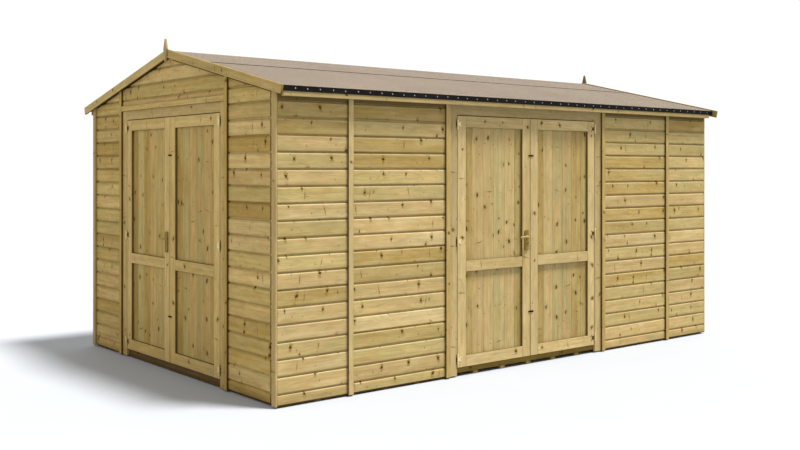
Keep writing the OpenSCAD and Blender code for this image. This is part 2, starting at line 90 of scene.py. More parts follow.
class Nodes:
    """Short calls for building the node tree of a material or of the world."""

    def __init__(self, owner):
        self.owner = owner
        owner.use_nodes = True
        self.tree = owner.node_tree

    def put(self, socket, value):
        """Links an output to a socket or sets its constant. One number fills a vector or a colour."""
        if isinstance(value, bpy.types.NodeSocket):
            self.tree.links.new(value, socket)
        elif value is not None:
            places = len(socket.default_value) if hasattr(socket.default_value, "__len__") else 0
            if places and not hasattr(value, "__len__"):
                value = (value,) * places
            if places == 4 and len(value) == 3:
                value = (*value, 1.0)
            socket.default_value = value

    def add(self, kind, values=None, **settings):
        node = self.tree.nodes.new(kind)
        for key, value in settings.items():
            setattr(node, key, value)
        for key, value in (values or {}).items():
            self.put(node.inputs[key], value)
        return node

    def math(self, op, a, b=None):
        return self.add("ShaderNodeMath", {0: a, 1: b}, operation=op).outputs[0]

    def plus(self, a, b):
        return self.math("ADD", a, b)

    def minus(self, a, b):
        return self.math("SUBTRACT", a, b)

    def times(self, a, b):
        return self.math("MULTIPLY", a, b)

    def over(self, a, b):
        return self.math("DIVIDE", a, b)

    def vector(self, op, a, b=None):
        node = self.add("ShaderNodeVectorMath", {0: a, 1: b}, operation=op)
        return node.outputs["Value"] if op in ("LENGTH", "DOT_PRODUCT") else node.outputs[0]

    def split(self, v):
        node = self.add("ShaderNodeSeparateXYZ", {0: v})
        return node.outputs[0], node.outputs[1], node.outputs[2]

    def join(self, x, y, z):
        return self.add("ShaderNodeCombineXYZ", {0: x, 1: y, 2: z}).outputs[0]

    def attribute(self, name, output="Vector"):
        return self.add("ShaderNodeAttribute", attribute_name=name).outputs[output]

    def place(self):
        """A point's place at rest, in the shared frame."""
        return self.add("ShaderNodeTexCoord").outputs["Object"]

    def noise(self, v, scale=1.0, detail=2.0, rough=0.5):
        values = {"Vector": v, "Scale": scale, "Detail": detail, "Roughness": rough}
        return self.add("ShaderNodeTexNoise", values).outputs["Fac"]

    def span(self, value, low, high, to_low=0.0, to_high=1.0, kind="LINEAR"):
        values = {"Value": value, "From Min": low, "From Max": high, "To Min": to_low, "To Max": to_high}
        return self.add("ShaderNodeMapRange", values, interpolation_type=kind).outputs[0]

    def smooth(self, value, low, high, to_low=0.0, to_high=1.0):
        return self.span(value, low, high, to_low, to_high, "SMOOTHSTEP")

    def pick(self, share, low, high):
        """From low to high as a share goes from 0 to 1."""
        return self.span(share, 0.0, 1.0, low, high)

    def vary(self, noise, low, high):
        """From low to high over the middle of a noise's values, where most of them lie."""
        return self.span(noise, 0.3, 0.7, low, high)

    def mix(self, factor, a, b, blend="MIX"):
        node = self.add("ShaderNodeMix", data_type="RGBA", blend_type=blend)
        self.put(node.inputs[0], factor)
        self.put(node.inputs[6], a)
        self.put(node.inputs[7], b)
        return node.outputs[2]

    def dim(self, colour, light):
        """A colour made lighter or darker by a number."""
        return self.mix(1.0, colour, self.join(light, light, light), "MULTIPLY")

    def ramp(self, factor, stops):
        node = self.add("ShaderNodeValToRGB", {0: factor})
        band = node.color_ramp
        while len(band.elements) < len(stops):
            band.elements.new(0.5)
        for element, (place, colour) in zip(band.elements, stops):
            element.position = place
            element.color = (*colour, 1.0)
        return node.outputs[0]

    def bump(self, height, distance, strength=1.0):
        values = {"Height": height, "Distance": distance, "Strength": strength}
        return self.add("ShaderNodeBump", values).outputs[0]

    def finish(self, **sockets):
        """Sets the shader's sockets by their names and gives the material."""
        shader = self.tree.nodes["Principled BSDF"]
        for key, value in sockets.items():
            self.put(shader.inputs[key.replace("_", " ")], value)
        return self.owner


def new_material(name):
    return Nodes(bpy.data.materials.new(name))


# Softwood

# Colours of what lies in or on the wood, from pale to dark; the first is a painted highlight and the last
# painted shade
LIP_HIGHLIGHT = (0.78, 0.66, 0.42)
LATE = (0.205, 0.118, 0.020)
STAIN = (0.150, 0.088, 0.012)
SPIKE = (0.115, 0.062, 0.011)
PIN = (0.062, 0.032, 0.004)
HEART = (0.058, 0.027, 0.002)
PAINTED_SHADE = (0.050, 0.026, 0.002)
# Times the colour on the gable with the doors, a painted warm tint of the light in its shade
SHADE_WARMTH = (1.06, 1.0, 0.84)
RINGS_A_METRE, RING_DEPTH = 135.0, 0.12

# Knots: metres between their places along and across a board, radii from the smallest to the largest, radii
# along and across, the largest slant, and the shift of one kind's places against another's
BRANCH_CELL = (0.24, 0.088)
SPIKES = {"cell": (0.31, 0.10), "size": (0.0035, 0.0055), "reach": (1.0, 4.8), "lean": 0.3}
PINS = {"cell": (0.12, 0.05), "size": (0.0016, 0.0038), "reach": (1.2, 1.0), "lean": 0.6}
SPIKE_SHIFT, PIN_SHIFT = (3.1, 0.013, 0.0), (7.3, 0.021, 0.0)
# How much further than the knot its stain reaches, along and across
STAIN_REACH = (1.5, 3.6)


def knot_layer(n, grain, chance, cell, size, reach, lean):
    """Knots at one chance place in each cell of a loose grid. Gives the knot and the patch around it."""
    u, v, _ = n.split(grain)
    grid = {"Vector": n.join(n.over(u, cell[0]), n.over(v, cell[1]), 0.0), "Scale": 1.0, "Randomness": 0.92}
    cells = n.add("ShaderNodeTexVoronoi", grid, voronoi_dimensions="2D")
    cell_u, cell_v, _ = n.split(cells.outputs["Position"])
    dice = n.add("ShaderNodeSeparateColor", {0: cells.outputs["Color"]}).outputs
    radius = n.pick(dice[0], *size)
    du = n.over(n.minus(u, n.times(cell_u, cell[0])), radius)
    dv = n.over(n.minus(v, n.times(cell_v, cell[1])), radius)
    du = n.plus(du, n.times(dv, n.pick(dice[2], -lean, lean)))

    def distance(along, across):
        """From the knot's middle, in these radii."""
        return n.vector("LENGTH", n.join(n.over(du, along), n.over(dv, across), 0.0))

    near = distance(*reach)
    wide = distance(reach[0] * STAIN_REACH[0], reach[1] * STAIN_REACH[1])
    wobble = n.vary(n.noise(grain, 120.0, 3.0), -0.4, 0.4)
    whorl = n.span(n.noise(grain, 2.6, 1.0), 0.35, 0.65, 0.35, 1.65)
    there = n.math("LESS_THAN", dice[1], n.times(whorl, chance))
    knot = n.times(n.smooth(n.plus(near, wobble), 1.2, 0.65), there)
    around = n.times(n.smooth(n.plus(wide, n.times(wobble, 1.6)), 1.3, 0.1), there)
    return knot, around


def growth_rings(n, grain, tone, stain):
    """Rings about a centre under the face, drawn out along the board and pushed aside by the knots."""
    u, v, w = n.split(grain)
    chance_hue, chance_light, chance_ring = n.split(tone)
    drift = n.noise(n.join(n.times(u, 0.9), chance_ring, 0.0))
    sway = n.noise(n.join(n.times(u, 3.0), n.times(v, 9.0), chance_hue))
    aside = n.minus(v, n.pick(chance_ring, -0.06, 0.06))
    deep = n.plus(n.pick(chance_light, 0.02, 0.07), n.vary(drift, -0.025, 0.025))
    radius = n.vector("LENGTH", n.join(aside, n.plus(w, deep), 0.0))
    radius = n.plus(radius, n.vary(sway, -0.004, 0.004))
    radius = n.plus(radius, n.times(stain, 0.004))
    turn = n.math("FRACT", n.times(radius, RINGS_A_METRE))
    return n.times(n.smooth(turn, 0.35, 0.9), n.smooth(turn, 1.0, 0.93))


def lap_light_and_shade(n, base, crease, v, stock):
    """Painted highlight on the lip of a lapped board and painted shade along its edges. Gives the colour and
    the crease.
    """
    lip = n.times(n.smooth(v, 0.029, 0.034), n.smooth(v, 0.043, 0.038))
    base = n.mix(n.times(lip, n.pick(stock, 0.11, 0.0)), base, LIP_HIGHLIGHT)
    base = n.mix(n.times(n.smooth(v, 0.022, 0.031, 0.0, 0.13), stock), base, PAINTED_SHADE)
    foot = n.times(n.smooth(v, -0.0435, -0.0525), n.pick(stock, 0.40, 0.16))
    return base, n.math("MAXIMUM", crease, foot)


def painted_soffit_shadow(n):
    """Painted shadow on the gable close under the bargeboards, by the depth below the roof line."""
    x, _, z = n.split(n.place())
    below = n.minus(RIDGE, n.plus(z, n.times(n.math("ABSOLUTE", x), SLOPE)))
    depth = n.pick(n.math("GREATER_THAN", x, 0.0), *SOFFIT_SHADOW)
    return n.smooth(n.minus(below, depth), 0.004, -0.002, 0.0, 1.1)


def wood(name, palette, late=LATE, knots=(0.50, 0.07, 0.35), core=(0.0035, 0.0095), reach=(1.8, 1.0),
         lean=0.6, tints=0.5, rough=0.66, saw=0.0, heart=HEART, halo=1.0, lapped=False, soffit_shadow=False):
    """Softwood whose grain, rings and knots follow each board's own axes. The boards carry four attributes:
    grain, the place along, across and through the board, tone, three chance numbers for each board,
    shade, the painted shade in creases, gaps and recesses and on narrow edges, and stock, which marks
    pieces on the shaded gable with the doors for a painted warm tint of their light.
    palette is the range of boards' colours and tints how much of it is used. late is the colour of rings and
    streaks. knots are the chances of branch knots, spikes and pins. core, reach and lean shape the branch
    knots, heart is their colour and halo the strength of the stain about them. saw adds the saw's marks,
    lapped a painted highlight on the lips of lapped boards and painted shade along their edges, and
    soffit_shadow the painted shadow line under the bargeboards."""
    n = new_material(name)
    grain, tone = n.attribute("grain"), n.attribute("tone")
    crease, stock = n.attribute("shade", "Fac"), n.attribute("stock", "Fac")
    u, v, w = n.split(grain)
    chance_hue, chance_light, chance_ring = n.split(tone)
    big, stain = knot_layer(n, grain, knots[0], BRANCH_CELL, core, reach, lean)
    spike, haze = knot_layer(n, n.vector("ADD", grain, SPIKE_SHIFT), knots[1], **SPIKES)
    pin, dust = knot_layer(n, n.vector("ADD", grain, PIN_SHIFT), knots[2], **PINS)
    ring = growth_rings(n, grain, tone, stain)
    # Streaks, fibres and broad patches
    streak = n.noise(n.vector("MULTIPLY", grain, (1.6, 48.0, 48.0)), 1.0, 3.0, 0.6)
    fibre = n.noise(n.vector("MULTIPLY", grain, (14.0, 620.0, 620.0)), 1.0, 2.0, 0.6)
    patch = n.noise(n.join(n.times(u, 3.4), n.times(v, 16.0), chance_ring), 1.0, 3.0, 0.55)
    smut = n.noise(n.join(n.times(u, 9.0), n.times(v, 30.0), chance_light), 1.0, 3.0, 0.6)
    # The board's own colour, then what lies over it
    hue = n.plus(n.pick(chance_hue, 0.5 - tints, 0.5 + tints), n.vary(patch, -0.26, 0.26))
    light = n.times(n.pick(chance_light, 0.91, 1.08), n.vary(streak, 0.86, 1.13))
    light = n.times(light, n.vary(fibre, 0.94, 1.06))
    light = n.times(light, n.vary(smut, 0.89, 1.09))
    base = n.dim(n.ramp(hue, palette), light)
    # Painted warm tint of the light on the shaded gable with the doors
    base = n.mix(stock, base, n.mix(1.0, base, SHADE_WARMTH, "MULTIPLY"))
    base = n.mix(n.times(ring, RING_DEPTH), base, late)
    base = n.mix(n.smooth(streak, 0.64, 0.82, 0.0, 0.45), base, late)
    base = n.mix(n.smooth(smut, 0.66, 0.80, 0.0, 0.30), base, late)
    base = n.mix(n.times(stain, n.span(smut, 0.35, 0.65, 0.5 * halo, halo)), base, STAIN)
    base = n.mix(n.times(n.math("MAXIMUM", haze, dust), 0.28), base, late)
    base = n.mix(n.times(spike, 0.55), base, SPIKE)
    # Painted highlight on the laps' lips and painted shade along their edges
    if lapped:
        base, crease = lap_light_and_shade(n, base, crease, v, stock)
    # Painted shadow line under the front bargeboards
    if soffit_shadow:
        crease = n.math("MAXIMUM", crease, painted_soffit_shadow(n))
    # Painted shade in creases, gaps and recesses, on narrow edges and under the eaves, by the shade attribute
    base = n.mix(n.times(crease, 0.88), base, PAINTED_SHADE)
    base = n.mix(n.times(pin, 0.82), base, PIN)
    base = n.mix(n.times(big, 0.94), base, heart)
    height = n.plus(n.times(fibre, 0.55 + saw), n.times(ring, -0.3))
    height = n.plus(height, n.times(big, -0.35))
    if saw:
        marks = n.noise(n.join(n.times(u, 260.0), n.times(v, 12.0), w), 1.0, 1.0)
        height = n.plus(height, n.times(marks, saw))
    roughness = n.vary(fibre, rough - 0.07, rough + 0.1)
    normal = n.bump(height, 0.0007)
    return n.finish(Base_Color=base, Roughness=roughness, Normal=normal, Specular_IOR_Level=0.03)


OLIVE = [
    (0.0, (0.360, 0.246, 0.080)),
    (0.28, (0.408, 0.296, 0.114)),
    (0.5, (0.404, 0.317, 0.131)),
    (0.75, (0.464, 0.323, 0.137)),
    (1.0, (0.490, 0.372, 0.176)),
]
WARM = [
    (0.0, (0.370, 0.257, 0.088)),
    (0.35, (0.420, 0.303, 0.116)),
    (0.7, (0.450, 0.326, 0.134)),
    (1.0, (0.480, 0.360, 0.162)),
]
FRAME = [
    (0.0, (0.418, 0.299, 0.117)),
    (0.35, (0.471, 0.348, 0.154)),
    (0.7, (0.484, 0.362, 0.168)),
    (1.0, (0.502, 0.383, 0.188)),
]
DOOR = [
    (0.0, (0.309, 0.213, 0.071)),
    (0.3, (0.367, 0.263, 0.096)),
    (0.5, (0.357, 0.303, 0.134)),
    (0.75, (0.424, 0.286, 0.116)),
    (1.0, (0.439, 0.322, 0.140)),
]
BROWN = [(0.0, (0.050, 0.028, 0.011)), (0.5, (0.085, 0.049, 0.020)), (1.0, (0.13, 0.080, 0.034))]
EDGE = [(0.0, (0.165, 0.108, 0.024)), (0.5, (0.205, 0.136, 0.032)), (1.0, (0.245, 0.168, 0.043))]
CLAD = {"knots": (0.46, 0.16, 0.30), "core": (0.0035, 0.0090), "reach": (1.3, 1.2), "lean": 0.25}
SAWN = {"knots": (0.15, 0.1, 0.1), "rough": 0.78, "saw": 0.8}
clad_wood = wood("clad_wood", OLIVE, tints=0.45, **CLAD, lapped=True)
gable_wood = wood("gable_wood", OLIVE, tints=0.62, **CLAD, lapped=True, soffit_shadow=True)
trim_wood = wood("trim_wood", WARM, knots=(0.12, 0.10, 0.28), core=(0.003, 0.006))
door_wood = wood("door_wood", DOOR, knots=(0.48, 0.22, 0.40), core=(0.0045, 0.0110),
                 heart=(0.072, 0.034, 0.004), halo=0.4)
frame_wood = wood("frame_wood", FRAME, knots=(0.22, 0.15, 0.28), core=(0.003, 0.008), tints=0.3)
inner_wood = wood("inner_wood", OLIVE, rough=0.74, saw=0.6)
sill_wood = wood("sill_wood", BROWN, late=(0.04, 0.022, 0.008), **SAWN)
step_wood = wood("step_wood", EDGE, late=(0.10, 0.06, 0.018), **SAWN)

# Felt and metal

GRIT = [
    (0.0, (0.082, 0.059, 0.041)),
    (0.3, (0.142, 0.110, 0.079)),
    (0.65, (0.178, 0.139, 0.101)),
    (0.9, (0.238, 0.191, 0.144)),
    (1.0, (0.35, 0.296, 0.240)),
]
TAR = [(0.3, (0.004, 0.0035, 0.003)), (0.55, (0.008, 0.007, 0.006)), (0.75, (0.024, 0.02, 0.016))]
# Places of a metal's three colours on its ramp
METAL_STOPS = (0.25, 0.5, 0.8)


def felt_material():
    """Mineral grit, with faint bands along the sheet and blotches."""
    n = new_material("mineral_felt")
    place = n.place()
    grit = n.add("ShaderNodeTexVoronoi", {"Vector": place, "Scale": 420.0}).outputs
    grain = n.add("ShaderNodeSeparateColor", {0: grit["Color"]}).outputs[0]
    blotch = n.noise(place, 2.2, 4.0, 0.6)
    x, y, _ = n.split(place)
    band = n.noise(n.join(n.times(x, 14.0), n.times(y, 0.5), 0.0), 1.0, 3.0, 0.6)
    fine = n.noise(place, 160.0, 3.0, 0.7)
    light = n.times(n.vary(blotch, 0.93, 1.07), n.vary(band, 0.95, 1.05))
    light = n.times(light, n.vary(fine, 0.88, 1.1))
    base = n.dim(n.ramp(grain, GRIT), light)
    normal = n.bump(n.plus(n.times(grit["Distance"], -0.9), n.times(fine, 0.6)), 0.0009, 0.8)
    return n.finish(Base_Color=base, Roughness=0.93, Normal=normal, Specular_IOR_Level=0.2)


def bitumen_material():
    """The felt's black edges and underside."""
    n = new_material("bitumen_edge")
    place = n.place()
    fine = n.noise(place, 230.0, 3.0, 0.65)
    broad = n.noise(place, 9.0, 3.0)
    base = n.ramp(n.times(n.plus(fine, broad), 0.5), TAR)
    rough = n.vary(broad, 0.55, 0.8)
    normal = n.bump(fine, 0.0008, 0.7)
    return n.finish(Base_Color=base, Roughness=rough, Normal=normal, Specular_IOR_Level=0.06)


def metal_material(name, colours, rough, metallic=1.0, gloss=0.5):
    """Cloudy, brushed metal of three colours."""
    n = new_material(name)
    place = n.place()
    cloud = n.noise(place, 45.0, 4.0, 0.6)
    brush = n.noise(n.vector("MULTIPLY", place, (900.0, 900.0, 40.0)))
    base = n.ramp(cloud, list(zip(METAL_STOPS, colours)))
    roughness = n.plus(n.vary(cloud, rough - 0.07, rough + 0.07), n.vary(brush, -0.05, 0.05))
    normal = n.bump(brush, 0.00012, 0.5)
    return n.finish(Base_Color=base, Roughness=roughness, Metallic=metallic, Normal=normal,
                    Specular_IOR_Level=gloss)


def shaded_wing_material():
    """Bright barrels on wings painted nearly black, as painted shade beside the barrels."""
    n = new_material("shaded_wing_brass")
    place = n.place()
    x, y, _ = n.split(place)
    front = n.minus(n.math("ABSOLUTE", y), HALF_L)
    proud = n.math("MAXIMUM", n.minus(n.math("ABSOLUTE", x), HALF_W), front)
    cloud = n.noise(place, 45.0, 4.0, 0.6)
    colours = ((0.52, 0.39, 0.14), (0.70, 0.55, 0.24), (0.82, 0.68, 0.38))
    bright = n.ramp(cloud, list(zip(METAL_STOPS, colours)))
    # Painted shade: the flat wings are nearly black
    wing_shade = n.ramp(cloud, [(0.3, (0.012, 0.008, 0.003)), (0.7, (0.035, 0.023, 0.008))])
    shine = n.smooth(proud, WING_T + 0.0001, WING_T + 0.0011)
    base = n.mix(shine, wing_shade, bright)
    rough = n.minus(n.vary(cloud, 0.81, 0.95), n.times(shine, 0.42))
    metallic = n.times(shine, 0.45)
    return n.finish(Base_Color=base, Metallic=metallic, Roughness=rough, Specular_IOR_Level=0.03)


mineral_felt = felt_material()
bitumen_edge = bitumen_material()
shaded_wing_brass = shaded_wing_material()
brass = metal_material(
    "brass", ((0.54, 0.41, 0.16), (0.73, 0.58, 0.26), (0.85, 0.72, 0.42)), 0.48, 0.45, 0.2)
plate_brass = metal_material(
    "plate_brass", ((0.15, 0.092, 0.012), (0.23, 0.150, 0.026), (0.32, 0.225, 0.055)), 0.60, 0.1, 0.06)
lever_brass = metal_material(
    "lever_brass", ((0.27, 0.195, 0.075), (0.35, 0.26, 0.105), (0.43, 0.33, 0.145)), 0.66, 0.1, 0.08)
black_iron = metal_material(
    "black_iron", ((0.006, 0.003, 0.001), (0.012, 0.006, 0.002), (0.024, 0.013, 0.006)), 0.7, 0.0, 0.03)
key_steel = metal_material("key_steel", ((0.16, 0.14, 0.08), (0.27, 0.24, 0.14), (0.40, 0.36, 0.24)), 0.42)
zinc = metal_material("zinc", ((0.22, 0.22, 0.21), (0.36, 0.36, 0.34), (0.52, 0.52, 0.50)), 0.42)

# Pieces made from the solids

# Points closer than this are one, and edges flatter or sharper than these angles are dissolved or eased
WELD, FLAT, SHARP = 2e-6, 0.01, 0.45


def link(name, mesh, body, slot, *materials):
    """Makes a mesh a piece that rides on a body."""
    piece = bpy.data.objects.new(name, mesh)
    bpy.context.scene.collection.objects.link(piece)
    for material in materials:
        mesh.materials.append(material)
    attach(piece, body)
    return piece


def solid_copy(node, planes=(), ease=0.0, chamfer=None):
    """A node's solids with flat faces whole, cut into boards at the planes, and their arrises eased.
    chamfer is a test of an edge's ends and a width, for the edges that are planed off further."""
    bm = bmesh.new()
    bm.from_mesh(NODES[node].data)
    bmesh.ops.remove_doubles(bm, verts=bm.verts, dist=WELD)
    bmesh.ops.dissolve_limit(bm, angle_limit=FLAT, verts=bm.verts, edges=bm.edges)
    for place, normal in planes:
        everything = bm.verts[:] + bm.edges[:] + bm.faces[:]
        cut = bmesh.ops.bisect_plane(bm, geom=everything, dist=1e-7, plane_co=place, plane_no=normal)
        seam = [e for e in cut["geom_cut"] if isinstance(e, bmesh.types.BMEdge)]
        if seam:
            bmesh.ops.split_edges(bm, edges=seam)
            bmesh.ops.holes_fill(bm, edges=[e for e in bm.edges if e.is_boundary], sides=0)
    bevel = {"offset_type": "OFFSET", "segments": 1, "profile": 0.5, "affect": "EDGES"}
    if chamfer:
        test, width = chamfer
        chosen = [e for e in bm.edges if test(*(v.co for v in e.verts))]
        bmesh.ops.bevel(bm, geom=chosen, offset=width, **bevel)
    if ease:
        arrises = [e for e in bm.edges if len(e.link_faces) == 2 and e.calc_face_angle(0.0) > SHARP]
        bmesh.ops.bevel(bm, geom=arrises, offset=ease, clamp_overlap=True, **bevel)
    bmesh.ops.recalc_face_normals(bm, faces=bm.faces)
    return bm


def boards_of(bm):
    """The separate boards of a mesh, each as a list of its vertices."""
    seen, found = set(), []
    for first in bm.verts:
        if first in seen:
            continue
        seen.add(first)
        stack, group = [first], []
        while stack:
            vert = stack.pop()
            group.append(vert)
            for edge in vert.link_edges:
                other = edge.other_vert(vert)
                if other not in seen:
                    seen.add(other)
                    stack.append(other)
        found.append(group)
    return found


def lay_grain(bm, seed, along=None, thin=None, shade=None, drop=None, stock=None, sink=None):
    """Writes each board's own axes, chance numbers, painted shade and stock. along and thin name the axes
    where the shape doesn't tell, shade gives a vertex's painted shade, stock marks a board of the shaded
    front for a painted warm tint, drop picks boards to leave out and sink sets some back with full painted
    shade."""
    grain = bm.verts.layers.float_vector.new("grain")
    tone = bm.verts.layers.float_vector.new("tone")
    dark = bm.verts.layers.float.new("shade")
    front_shade_layer = bm.verts.layers.float.new("stock")
    chance = random.Random(seed)
    for group in boards_of(bm):
        place = np.array([v.co for v in group])
        middle = (place.min(0) + place.max(0)) / 2
        if drop and drop(middle):
            bmesh.ops.delete(bm, geom=group, context="VERTS")
            continue
        sunk = sink and sink(group, middle)
        if along is None:
            _, _, axes = np.linalg.svd(place - place.mean(0), full_matrices=False)
            axes = np.array([a if a[np.argmax(np.abs(a))] > 0 else -a for a in axes])
        else:
            axes = np.array([along, np.cross(thin, along), thin], float)
        local = (place - middle) @ axes.T
        start = chance.uniform(0.0, 60.0)
        mood = (chance.random(), chance.random(), chance.random())
        for vert, q in zip(group, local):
            vert[grain] = (q[0] + start, q[1], q[2])
            vert[tone] = mood
            # Boards that are set back get full painted shade
            if sunk:
                vert[dark] = 1.0
            elif shade:
                vert[dark] = shade(vert, axes)
            if stock:
                vert[front_shade_layer] = stock(middle)


def timber(name, nodes, material, slot, seed, body="shed", planes=(), ease=0.0012, chamfer=None, reach=None,
           **marks):
    """One piece of boards that stands for these CAD nodes. reach gives how far to move a point so that boards
    get longer, and marks are what lay_grain takes."""
    whole = bmesh.new()
    for node in nodes:
        bm = solid_copy(node, planes, ease, chamfer)
        if reach:
            for vert in bm.verts:
                vert.co.y += math.copysign(reach(vert.co), vert.co.y)
        part = bpy.data.meshes.new("part")
        bm.to_mesh(part)
        bm.free()
        whole.from_mesh(part)
        bpy.data.meshes.remove(part)
    lay_grain(whole, seed, **marks)
    mesh = bpy.data.meshes.new(name)
    whole.to_mesh(mesh)
    whole.free()
    piece = link(name, mesh, body, slot, material)
    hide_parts(*nodes)
    return piece


# Painted shade and darkening on boards, from 0 to 1


def even(darkness):
    """The same all over."""
    return lambda vert, axes: darkness


def lap_shade(depth_of, peak, foot_shade, bevel=0.0, under_eaves=0.0):
    """Painted shade on a wall by the depth behind its face: bevel on a lap's slope and peak at its back. The
    board under the eaves gets painted shade too, and the lowest one painted shade along its foot."""
    highest = FIRST_LAP + COURSE * WALL_COURSES - 0.001

    def shade(vert, axes):
        depth = depth_of(vert.co)
        crease_shade = 0.0
        if LAP_SLOPE[0] < depth < LAP_SLOPE[1]:
            crease_shade = bevel + (peak - bevel) * min(1.0, max(0.0, (depth - LAP_SHADE_START) / LAP_DEEPENS))
        if vert.co.z < BASE_LINE + 0.003:
            return foot_shade
        return max(crease_shade, under_eaves) if vert.co.z > highest else crease_shade

    return shade


def set_back(depth_of, out, test):
    """Thins the boards picked by a test to the back half of the cladding, where they lie in shadow; lay_grain
    gives them full painted shade.
    """

    def sink(group, middle):
        if test(middle):
            for vert in group:
                vert.co -= out * (0.5 * (CLAD_T - depth_of(vert.co)))
            return True
        return False

    return sink


def on_shaded_front(middle):
    """Pieces on the gable with the doors, which lies in shade, get a painted warm tint and their laps their
    own painted highlight and shade.
    """
    return 1.0 if middle[1] < FRONT_SIDE else 0.0


def behind_boards(vert, axes):
    """Painted shade on framing where it lies against the cladding, which shows there only through gaps by the
    trims.
    """
    near = max(abs(vert.co.x) - HALF_W, abs(vert.co.y) - HALF_L) + CLAD_T
    return 1.0 if near > -0.0008 else 0.0


def edge_shade(vert, axes):
    """Painted shade: full on a board's narrow sides and ends, none on its faces."""
    return 0.0 if any(abs(np.dot(f.normal, axes[2])) > 0.9 for f in vert.link_faces) else 1.0


def casing_shade(vert, axes):
    """Doorway boards darkened all over, and given painted shade at the top of the side's, under the eaves."""
    return 0.36 if vert.co.x > RIGHT_SIDE and vert.co.z > LEAF_TOP else 0.20


def bearer_shade(vert, axes):
    """Painted shade makes the bearer under the front doors nearly black; the others are darkened."""
    return 1.0 if vert.co.y < -HALF_L + 0.15 else 0.62


def barge_shade(vert, axes):
    """Painted shade under the bargeboards and on the inner face of the one behind; their top edges and ends
    are darker too.
    """
    faces = [f.normal for f in vert.link_faces]
    if any(n.y < -0.9 for n in faces) and vert.co.y > 0:
        return 0.5
    if any(abs(n.y) > 0.9 for n in faces):
        return 0.0
    return 0.9 if any(n.z < -0.7 for n in faces) else 0.36


def finial_shade(vert, axes):
    """Painted shade on the finial behind, which is the darker one; the front one is darker too."""
    return 0.28 if vert.co.y < 0.0 else 0.75


# Walls: the side boards run out to the gables' faces, and the gables' boards end behind them

# Clearance between boards at a corner, the gap beside the front gable's right trim, and how far off a joint's
# own corners it is cut
SEAT = 0.0004
BOARD_END = HALF_W - CLAD_T - SEAT
TRIM_GAP = (HALF_W - 0.085, HALF_W - 0.0485)
LAP_CUT, JOINT_CUT = 0.0001, 0.00005
laps = [((0, 0, FIRST_LAP + COURSE * i - LAP_CUT), Z) for i in range(ALL_COURSES)]
laps.append(((0, 0, BASE_LINE), Z))
end_cuts = [((x, 0, 0), X) for x in (-BOARD_END, BOARD_END)]
gap_cuts = [((x, 0, 0), X) for x in TRIM_GAP]


def to_corner(co):
    """How far a point at a side board's end moves to reach the gable's face."""
    return CLAD_T - SEAT if abs(co.y) > HALF_L - CLAD_T - 0.004 else 0.0


def past_corner(middle):
    """Whether a gable's board is the end that a side board takes the place of."""
    return abs(middle[0]) > BOARD_END


def at_base(middle):
    """Whether a board is the strip along a wall's foot."""
    return middle[2] < BASE_LINE


def in_shadow_gap(middle):
    """Whether a board is that strip or fills the gap beside the trim."""
    return at_base(middle) or TRIM_GAP[0] < middle[0] < TRIM_GAP[1]


def side_wall(name, sign, seed):
    """Boards of the right wall, sign 1, or the left wall, sign -1."""

    def depth_of(p):
        return HALF_W - sign * p.x

    timber(f"{name}_boards", [f"{name}_wall_cladding"], clad_wood, "cladding", seed, planes=laps,
           reach=to_corner, along=Y, thin=X, sink=set_back(depth_of, sign * X, at_base),
           shade=lap_shade(depth_of, peak=0.17, foot_shade=0.25, under_eaves=0.85))


def end_wall(name, nodes, material, sign, cuts, test, seed):
    """Boards of the rear gable, sign 1, or the front gable, sign -1. test picks the boards to set back."""

    def depth_of(p):
        return HALF_L - sign * p.y

    timber(f"{name}_boards", nodes, material, "cladding", seed, planes=laps + cuts, along=-sign * X,
           thin=sign * Y, drop=past_corner, stock=on_shaded_front, sink=set_back(depth_of, sign * Y, test),
           shade=lap_shade(depth_of, peak=0.05, foot_shade=0.45, bevel=0.05))


side_wall("right", 1, 11)
side_wall("left", -1, 12)
end_wall("front", ["front_wall_cladding", "front_gable_cladding"], gable_wood, -1, end_cuts + gap_cuts,
         in_shadow_gap, 13)
end_wall("rear", ["rear_wall_cladding"], clad_wood, 1, end_cuts, at_base, 14)
SIDES = ("right", "left", "front", "rear")
timber("wall_strips", [f"{side}_cover_strips" for side in SIDES], trim_wood, "strips", 15, shade=edge_shade,
       stock=on_shaded_front)
timber("corner_posts", ["corner_trims"], trim_wood, "strips", 16, ease=0.0016, shade=even(0.08))
timber("doorway_boards", ["side_door_frame", "front_door_frame"], frame_wood, "casing", 17, ease=0.0007,
       stock=on_shaded_front, shade=casing_shade)
timber("wall_studs", [f"{side}_wall_framing" for side in SIDES], inner_wood, "framing", 18,
       shade=behind_boards)

# Floor

FLOOR_BOARD, FLOOR_JOINTS = 0.12, 23
floor_joints = [((-HALF_W + FLOOR_BOARD * (i + 1), 0, 0), X) for i in range(FLOOR_JOINTS)]
timber("floor_boards", ["floor_deck"], inner_wood, "floor", 21, planes=floor_joints, ease=0.001, along=Y,
       thin=Z)
timber("bearers", ["floor_bearers"], inner_wood, "bearers", 22, ease=0.0015, shade=bearer_shade)
sills = timber("sill_boards", ["door_sills"], sill_wood, "sills", 23, ease=0.0015)
sills.data.materials.append(step_wood)
for face in sills.data.polygons:
    face.material_index = 1 if face.center.x > RIGHT_SIDE else 0

# Roof

DECK_BOARD, DECK_JOINTS = 0.113, 41
deck_joints = [((0, -HALF_L + DECK_BOARD * i, 0), Y) for i in range(DECK_JOINTS)]
timber("roof_boards", ["roof_deck"], inner_wood, "roof_boards", 31, planes=deck_joints, ease=0.001, along=X,
       thin=Z)
timber("purlins", ["roof_purlins", "ridge_beam"], inner_wood, "framing", 32)
